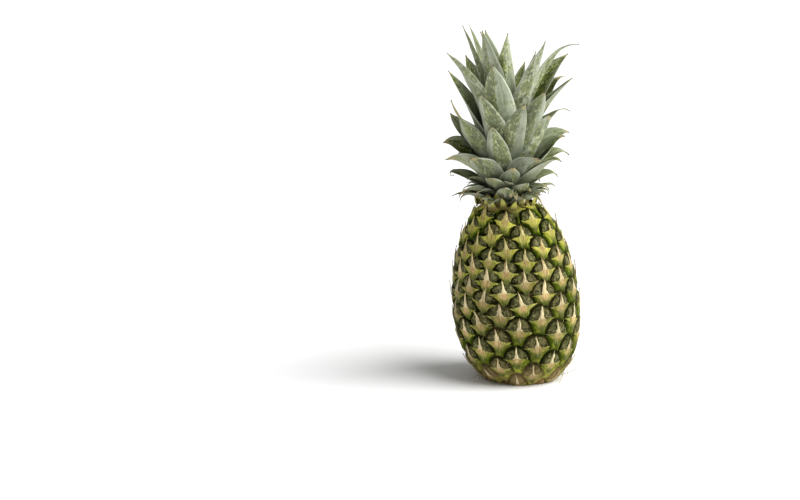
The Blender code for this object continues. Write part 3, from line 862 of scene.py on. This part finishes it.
def rindMaterial():
    # mottled olive domes inside dark arches, yellow-green flesh under the stars, brown at both ends
    look = rindLook
    material, tree = newMaterial("rind")
    position = onPart(tree)
    up, edge, own, path, seed, dry = (
        mark(tree, label) for label in ("eyeUp", "eyeEdge", "ownArch", "path", "eyeSeed", "eyeDry"))
    patches, flecks, pits = (
        patchMask(tree, position, *look[label]) for label in ("patches", "flecks", "pits"))
    # the pale lobes: partly the skin's own bloom, partly a painted highlight on the upper dome
    pale = times(tree, mark(tree, "lobe"), fade(tree, seed, 0, 1, 0.35, 0.95))
    pale = times(tree, pale, fade(tree, patches, 0, 1, 0.45, 1.0))
    dome = layered(
        tree, tint(tree, patches, look["domeDark"], look["domePale"]), (pale, look["lobe"]),
        (times(tree, flecks, 0.5), look["fleck"]), (times(tree, pits, 0.8), look["pit"]))
    flesh = tint(tree, patches, look["fleshDark"], look["fleshPale"])
    high = fade(tree, path, *look["fleshHighPath"], 0.0, 0.6)
    flesh = tint(tree, high, flesh, look["fleshHigh"])
    below = fade(tree, up, 0.06, -0.04)         # below the middle of the eye, under the star
    rim = times(tree, fade(tree, edge, 0.34, 0.12), fade(tree, up, 0.1, -0.1))
    groove = fade(tree, less(tree, edge, times(tree, own, 0.05)), 0.14, 0.015)
    brown = times(tree, dry, fade(tree, patches, 0, 1, 0.2, 0.7))
    lime = times(tree, fade(tree, path, *look["limePath"], 0.0, 0.6), patches)
    stubFibre = noise(tree, position, look["grainScale"], 4.0, 0.7)
    colour = layered(
        tree, tint(tree, below, dome, flesh), (rim, look["rim"]), (groove, look["groove"]),
        (brown, look["dry"]), (times(tree, lime, below), look["lime"]),
        (fade(tree, path, *look["basePath"], 0.0, 0.4), look["base"]),
        (fade(tree, path, *look["neckPath"]), look["neck"]),
        (mark(tree, "stub"), tint(tree, stubFibre, look["stubDark"], look["stubPale"])))
    roughness = fade(tree, patches, 0, 1, look["dullest"], look["shiniest"])
    grain = noise(tree, position, look["grainScale"], 4.0, 0.65)
    height = plus(tree, grain, times(tree, pits, -0.5))
    return finishMaterial(material, colour, roughness, look["specular"], (height, *look["relief"]))


bractLook = {
    "fibreCount": 17.0, "patches": (300.0, 0.5, 0.12, 0.7), "rosyPatches": (360.0, 0.5, 0.08),
    "greenDark": (0.13, 0.17, 0.010), "greenPale": (0.34, 0.355, 0.036),
    "wingEnd": (0.40, 0.42, 0.06), "tan": (0.78, 0.58, 0.26), "rosy": (0.66, 0.36, 0.17),
    "lowCentre": (0.70, 0.40, 0.22), "lowPath": (38.0, 12.0),
    "rust": (0.30, 0.15, 0.08), "rustPath": (98.0, 132.0),
    "straw": (0.86, 0.75, 0.43), "rustStraw": (0.36, 0.20, 0.12), "strawFrom": (0.03, 0.17),
    "dryEnd": (0.30, 0.21, 0.09), "dryEndFrom": (0.46, 0.3), "dryEndPath": (120.0, 150.0),
    "neck": (0.62, 0.61, 0.08), "neckPath": (106.0, 156.0), "withered": (0.42, 0.28, 0.14),
    # foot: the star's dark green foot, partly its own green, partly painted shade where it sinks
    # into the groove
    "darkLine": (0.13, 0.10, 0.012), "foot": (0.060, 0.090, 0.005), "paleLine": (0.84, 0.78, 0.40),
    "lightness": (0.8, 1.12), "roughness": 0.55, "specular": 0.12, "relief": (0.7, 0.0006),
}


def bractMaterial():
    # fibres fan out from the foot: yellow-green wings, a tan and rosy middle, a straw-yellow point
    look = bractLook
    material, tree = newMaterial("eye_bract")
    position = onPart(tree)
    x, y, seed, dry, path = (
        mark(tree, label) for label in ("bractX", "bractY", "eyeSeed", "eyeDry", "path"))
    lines = fineLines(tree, mark(tree, "fan"), mark(tree, "reach"), seed, look["fibreCount"])
    patches = patchMask(tree, position, *look["patches"])
    rosy = patchMask(tree, position, *look["rosyPatches"])
    farX = sums(tree, "ABSOLUTE", x)
    green = tint(tree, patches, look["greenDark"], look["greenPale"])
    green = tint(tree, fade(tree, farX, 0.3, 0.6, 0.0, 0.4), green, look["wingEnd"])
    blend = plus(tree, farX, times(tree, less(tree, lines, 0.5), 0.16))
    middle = times(tree, fade(tree, blend, 0.32, 0.05), fade(tree, y, -0.26, 0.0))
    middle = times(tree, middle, fade(tree, seed, 0, 1, 0.65, 1.0))
    rusty = fade(tree, path, *look["rustPath"], 0.0, 0.92)
    rusty = times(tree, fade(tree, rosy, 0, 1, 0.7, 1.0), rusty)
    rusty = times(tree, rusty, fade(tree, seed, 0.2, 0.45, 0.25, 1.0))
    centre = layered(
        tree, tint(tree, rosy, look["tan"], look["rosy"]),
        (fade(tree, path, *look["lowPath"], 0.0, 0.5), look["lowCentre"]), (rusty, look["rust"]))
    straw = tint(tree, times(tree, rusty, 0.8), look["straw"], look["rustStraw"])
    dryFrom = fade(tree, path, *look["dryEndPath"], *look["dryEndFrom"])
    nearNeck = fade(tree, path, *look["neckPath"], 0.0, 0.85)
    nearNeck = times(tree, nearNeck, less(tree, 1.0, times(tree, middle, 0.7)))
    colour = layered(
        tree, tint(tree, middle, green, centre), (fade(tree, y, *look["strawFrom"]), straw),
        (fade(tree, less(tree, y, dryFrom), 0.0, 0.2), look["dryEnd"]), (nearNeck, look["neck"]),
        (times(tree, dry, fade(tree, farX, 0.0, 0.5, 0.75, 0.35)), look["withered"]),
        (fade(tree, lines, 0.5, 0.0, 0.0, 0.65), look["darkLine"]),
        # the star's foot darker green: partly its own green, partly painted shade where it sinks
        # into the groove
        (fade(tree, y, -0.07, -0.32, 0.0, 0.85), look["foot"]),
        (fade(tree, lines, 0.6, 1.0, 0.0, 0.25), look["paleLine"]))
    lightness = greyOf(tree, fade(tree, seed, 0, 1, *look["lightness"]))
    colour = tint(tree, 1.0, colour, lightness, "MULTIPLY")
    relief = (lines, *look["relief"])
    return finishMaterial(material, colour, look["roughness"], look["specular"], relief)


hairLook = {
    "foot": (0.46, 0.36, 0.17), "tip": (0.20, 0.13, 0.06), "roughness": 0.7, "specular": 0.5,
}


def hairMaterial():
    # straw, browner at the free end
    material, tree = newMaterial("dry_hair")
    colour = tint(tree, mark(tree, "share"), hairLook["foot"], hairLook["tip"])
    return finishMaterial(material, colour, hairLook["roughness"], hairLook["specular"])


# colours of each leaf material; edge is the pale margin colour, partly a painted highlight on the
# margins
leafColours = {
    "inner_leaf": {
        "waxDark": (0.135, 0.158, 0.09), "waxPale": (0.455, 0.495, 0.365),
        "foot": (0.34, 0.375, 0.315), "edge": (0.52, 0.56, 0.45), "olive": (0.048, 0.070, 0.008),
        "yellowGreen": (0.215, 0.25, 0.050), "scratch": (0.66, 0.68, 0.38)},
    "outer_leaf": {
        "waxDark": (0.17, 0.19, 0.105), "waxPale": (0.46, 0.49, 0.355),
        "foot": (0.34, 0.36, 0.28), "edge": (0.70, 0.74, 0.58), "olive": (0.075, 0.105, 0.014),
        "yellowGreen": (0.32, 0.35, 0.09), "scratch": (0.56, 0.54, 0.30)},
    "collar_leaf": {
        "waxDark": (0.46, 0.50, 0.03), "waxPale": (0.95, 0.90, 0.22),
        "foot": (0.42, 0.25, 0.09), "edge": (0.76, 0.74, 0.13), "olive": (0.22, 0.24, 0.015),
        "yellowGreen": (0.92, 0.84, 0.22), "scratch": (0.78, 0.50, 0.28)},
}
leafWear = {
    "patchStretch": 4.6, "leavesApart": 41.0, "rubAside": 4.6,
    "rubLevel": 0.70, "rubDeeper": 0.42, "rubScale": 1.5, "rubSoftness": 0.05, "rubFine": 0.9,
    "mottle": (2.2, 0.47, 0.10, 0.9), "scratches": (5.5, 0.575, 0.04),
    "deep": (1.1, 0.55, 0.06, 0.9), "cloudScale": 1.6,
    "lineCount": 20.0, "streakCount": 5.0, "streakStretch": 0.4,
    # painted shade multiplied in: on the back towards its foot, where the leaves around it shade
    # it, and on the inner face from its foot to its tip, partly the inner face's own darker green
    "paintedFootShade": (0.36, 0.38, 0.30), "innerFootShade": (0.40, 0.45, 0.33), "innerTipShade": (0.90, 0.93, 0.80),
    "dryTip": (0.40, 0.34, 0.17), "dryRagged": 12.0, "veryTip": (0.09, 0.07, 0.03),
    "dullest": 0.6, "shiniest": 0.42, "specular": 0.3, "relief": (0.4, 0.0004),
}


def leafMaterial(name):
    # grey-green wax with fine lines along the blade; rubbed patches down the middle show mottled
    # yellow-green and olive; the tip is dry; painted shade darkens the back's foot and the inner
    # face
    hue, wear = leafColours[name], leafWear
    material, tree = newMaterial(name)
    across, along, seed, length, rubbed, inside, tipDistance = (
        mark(tree, label) for label in (
            "across", "along", "leafSeed", "leafLength", "rubbed", "innerFace", "tipDistance"))
    blade = put(tree, "CombineXYZ", {
        0: across, 1: times(tree, length, wear["patchStretch"]),
        2: times(tree, seed, wear["leavesApart"])}).outputs[0]
    # rubbing is worst beyond the foot, about a line that lies aside by another amount on each leaf
    aside = less(tree, sums(tree, "FRACT", times(tree, seed, wear["rubAside"])), 0.5)
    fromRub = sums(tree, "ABSOLUTE", less(tree, across, aside))
    zone = times(tree, fade(tree, fromRub, 0.8, 0.3), fade(tree, along, 0.2, 0.5))
    zone = times(tree, zone, rubbed)
    level = less(tree, wear["rubLevel"], times(tree, zone, wear["rubDeeper"]))
    rub = patchMask(tree, blade, wear["rubScale"], level, wear["rubSoftness"], wear["rubFine"])
    mottle, scratches, deep = (
        patchMask(tree, blade, *wear[label]) for label in ("mottle", "scratches", "deep"))
    lines = fineLines(tree, across, length, seed, wear["lineCount"])
    streaks = fineLines(tree, across, times(tree, length, wear["streakStretch"]),
                        plus(tree, seed, 3.0), wear["streakCount"])
    cloud = noise(tree, blade, wear["cloudScale"], 3.0)
    wax = times(tree, plus(tree, fade(tree, cloud, 0.35, 0.62), streaks), 0.5)
    # the margins: a pale waxy edge, laid on partly as a painted highlight along the margins
    rim = fade(tree, sums(tree, "ABSOLUTE", across), 0.88, 0.97)
    paint = layered(
        tree, tint(tree, wax, hue["waxDark"], hue["waxPale"]),
        (fade(tree, along, 0.45, 0.15), hue["foot"]),
        (rub, tint(tree, mottle, hue["olive"], hue["yellowGreen"])),
        (times(tree, scratches, fade(tree, zone, 0.0, 0.5, 0.1, 0.7)), hue["scratch"]),
        (times(tree, rim, 0.6), hue["edge"]),
        (fade(tree, lines, 0.5, 0.0, 0.0, 0.22), hue["olive"]),
        (times(tree, times(tree, deep, zone), 0.75), hue["olive"]))
    # each leaf's tone multiplied in: a random difference between leaves, and on the listed leaves
    # also painted light and shade
    paint = tint(tree, 1.0, paint, greyOf(tree, mark(tree, "tone")), "MULTIPLY")
    outside = less(tree, 1.0, inside)
    paint = tint(tree, times(tree, outside, 0.18), paint, hue["edge"])
    # painted shade: the back of each leaf darker towards its foot, where the leaves around it shade
    # it
    paintedFootShade = times(tree, outside, fade(tree, along, 0.6, 0.2))
    paint = tint(tree, paintedFootShade, paint, wear["paintedFootShade"], "MULTIPLY")
    # painted shade on the inner face, deepest at the foot near the stem, partly the face's own
    # darker green
    innerShade = tint(tree, fade(tree, along, 0.15, 0.75), wear["innerFootShade"], wear["innerTipShade"])
    paint = tint(tree, inside, paint, innerShade, "MULTIPLY")
    ragged = times(tree, less(tree, cloud, 0.5), wear["dryRagged"])
    end = less(tree, plus(tree, tipDistance, ragged), mark(tree, "dryLength"))
    paint = layered(tree, paint, (fade(tree, end, 2.5, -1.5, 0.0, 0.9), wear["dryTip"]),
                    (fade(tree, tipDistance, 2.2, 0.4), wear["veryTip"]))
    roughness = fade(tree, rub, 0, 1, wear["dullest"], wear["shiniest"])
    height = plus(tree, lines, times(tree, mottle, -0.4))
    return finishMaterial(material, paint, roughness, wear["specular"], (height, *wear["relief"]))


stemLook = {
    "dark": (0.16, 0.17, 0.05), "pale": (0.42, 0.41, 0.18), "strandScale": (900.0, 900.0, 90.0),
    "dullest": 0.75, "shiniest": 0.55, "specular": 0.5, "relief": (0.5, 0.0006),
}


def stemMaterial():
    # pale fibrous stem between the leaf feet
    look = stemLook
    material, tree = newMaterial("stem_fibre")
    stretched = put(tree, "Mapping", {"Vector": onPart(tree), "Scale": look["strandScale"]})
    strands = noise(tree, stretched.outputs[0], 1.0, 3.0)
    colour = tint(tree, fade(tree, strands, 0.3, 0.7), look["dark"], look["pale"])
    roughness = fade(tree, strands, 0, 1, look["dullest"], look["shiniest"])
    return finishMaterial(material, colour, roughness, look["specular"], (strands, *look["relief"]))


rind = rindMaterial()
buildFruitSkin(rind)
print("fruit skin done")
buildBracts(bractMaterial())
buildHairs(hairMaterial())
print("bracts and hairs done")
innerLeaf, outerLeaf, collarLeaf = (leafMaterial(name) for name in leafColours)
for number in range(crown["lowest"], crown["innermost"] + 1):
    if number < crown["firstInner"]:
        buildLeaf(number, outerLeaf)
    else:
        buildLeaf(number, innerLeaf)
buildSmallLeaves("neck_leaves", neck, outerLeaf)
buildSmallLeaves("collar_bracts", collar, collarLeaf)
bpy.data.objects["crown_stem"].material_slots[0].material = stemMaterial()
print("leaves done")


studio = {
    "floorSize": 60.0, "floorTone": 0.93, "floorRoughness": 0.9, "skyStrength": 0.33,
    # strength, softness, turn to the right and height of the soft lamps, angles in degrees
    "key": (3.6, 52.0, 68.0, 52.0), "side": (1.5, 40.0, 88.0, 14.0),
    "lens": 85.1, "cameraPlace": (-0.1143, -1.744, 0.461), "cameraDown": 11.0,
}


def buildFloor():
    # a wide pale square under the part
    half = studio["floorSize"] / 2
    corners = [(-half, -half, 0), (half, -half, 0), (half, half, 0), (-half, half, 0)]
    mesh = bpy.data.meshes.new("floor")
    mesh.from_pydata(corners, [], [(0, 1, 2, 3)])
    material, _ = newMaterial("floor")
    tone = (studio["floorTone"],) * 3
    mesh.materials.append(finishMaterial(material, (*tone, 1), studio["floorRoughness"], 0.0))
    floor = bpy.data.objects.new("floor", mesh)
    bpy.context.scene.collection.objects.link(floor)


def buildLight():
    # an even white sky and two soft suns from the right
    world = bpy.data.worlds.new("studio")
    world.use_nodes = True
    sky = world.node_tree.nodes["Background"]
    sky.inputs["Color"].default_value = (1, 1, 1, 1)
    sky.inputs["Strength"].default_value = studio["skyStrength"]
    bpy.context.scene.world = world
    for name in ("key", "side"):
        strength, softness, turn, height = studio[name]
        data = bpy.data.lights.new(name, "SUN")
        data.energy = strength
        data.angle = math.radians(softness)
        lamp = bpy.data.objects.new(name, data)
        lamp.rotation_euler = (math.radians(90 - height), 0, math.radians(turn))
        bpy.context.scene.collection.objects.link(lamp)


def buildCamera():
    # a long lens that looks a little down on the part
    data = bpy.data.cameras.new("camera")
    data.lens = studio["lens"]
    camera = bpy.data.objects.new("camera", data)
    camera.location = studio["cameraPlace"]
    camera.rotation_euler = (math.radians(90 - studio["cameraDown"]), 0, 0)
    bpy.context.scene.collection.objects.link(camera)
    bpy.context.scene.camera = camera


buildFloor()
buildLight()
buildCamera()
bpy.context.scene.view_settings.view_transform = "Standard"
print("studio done")
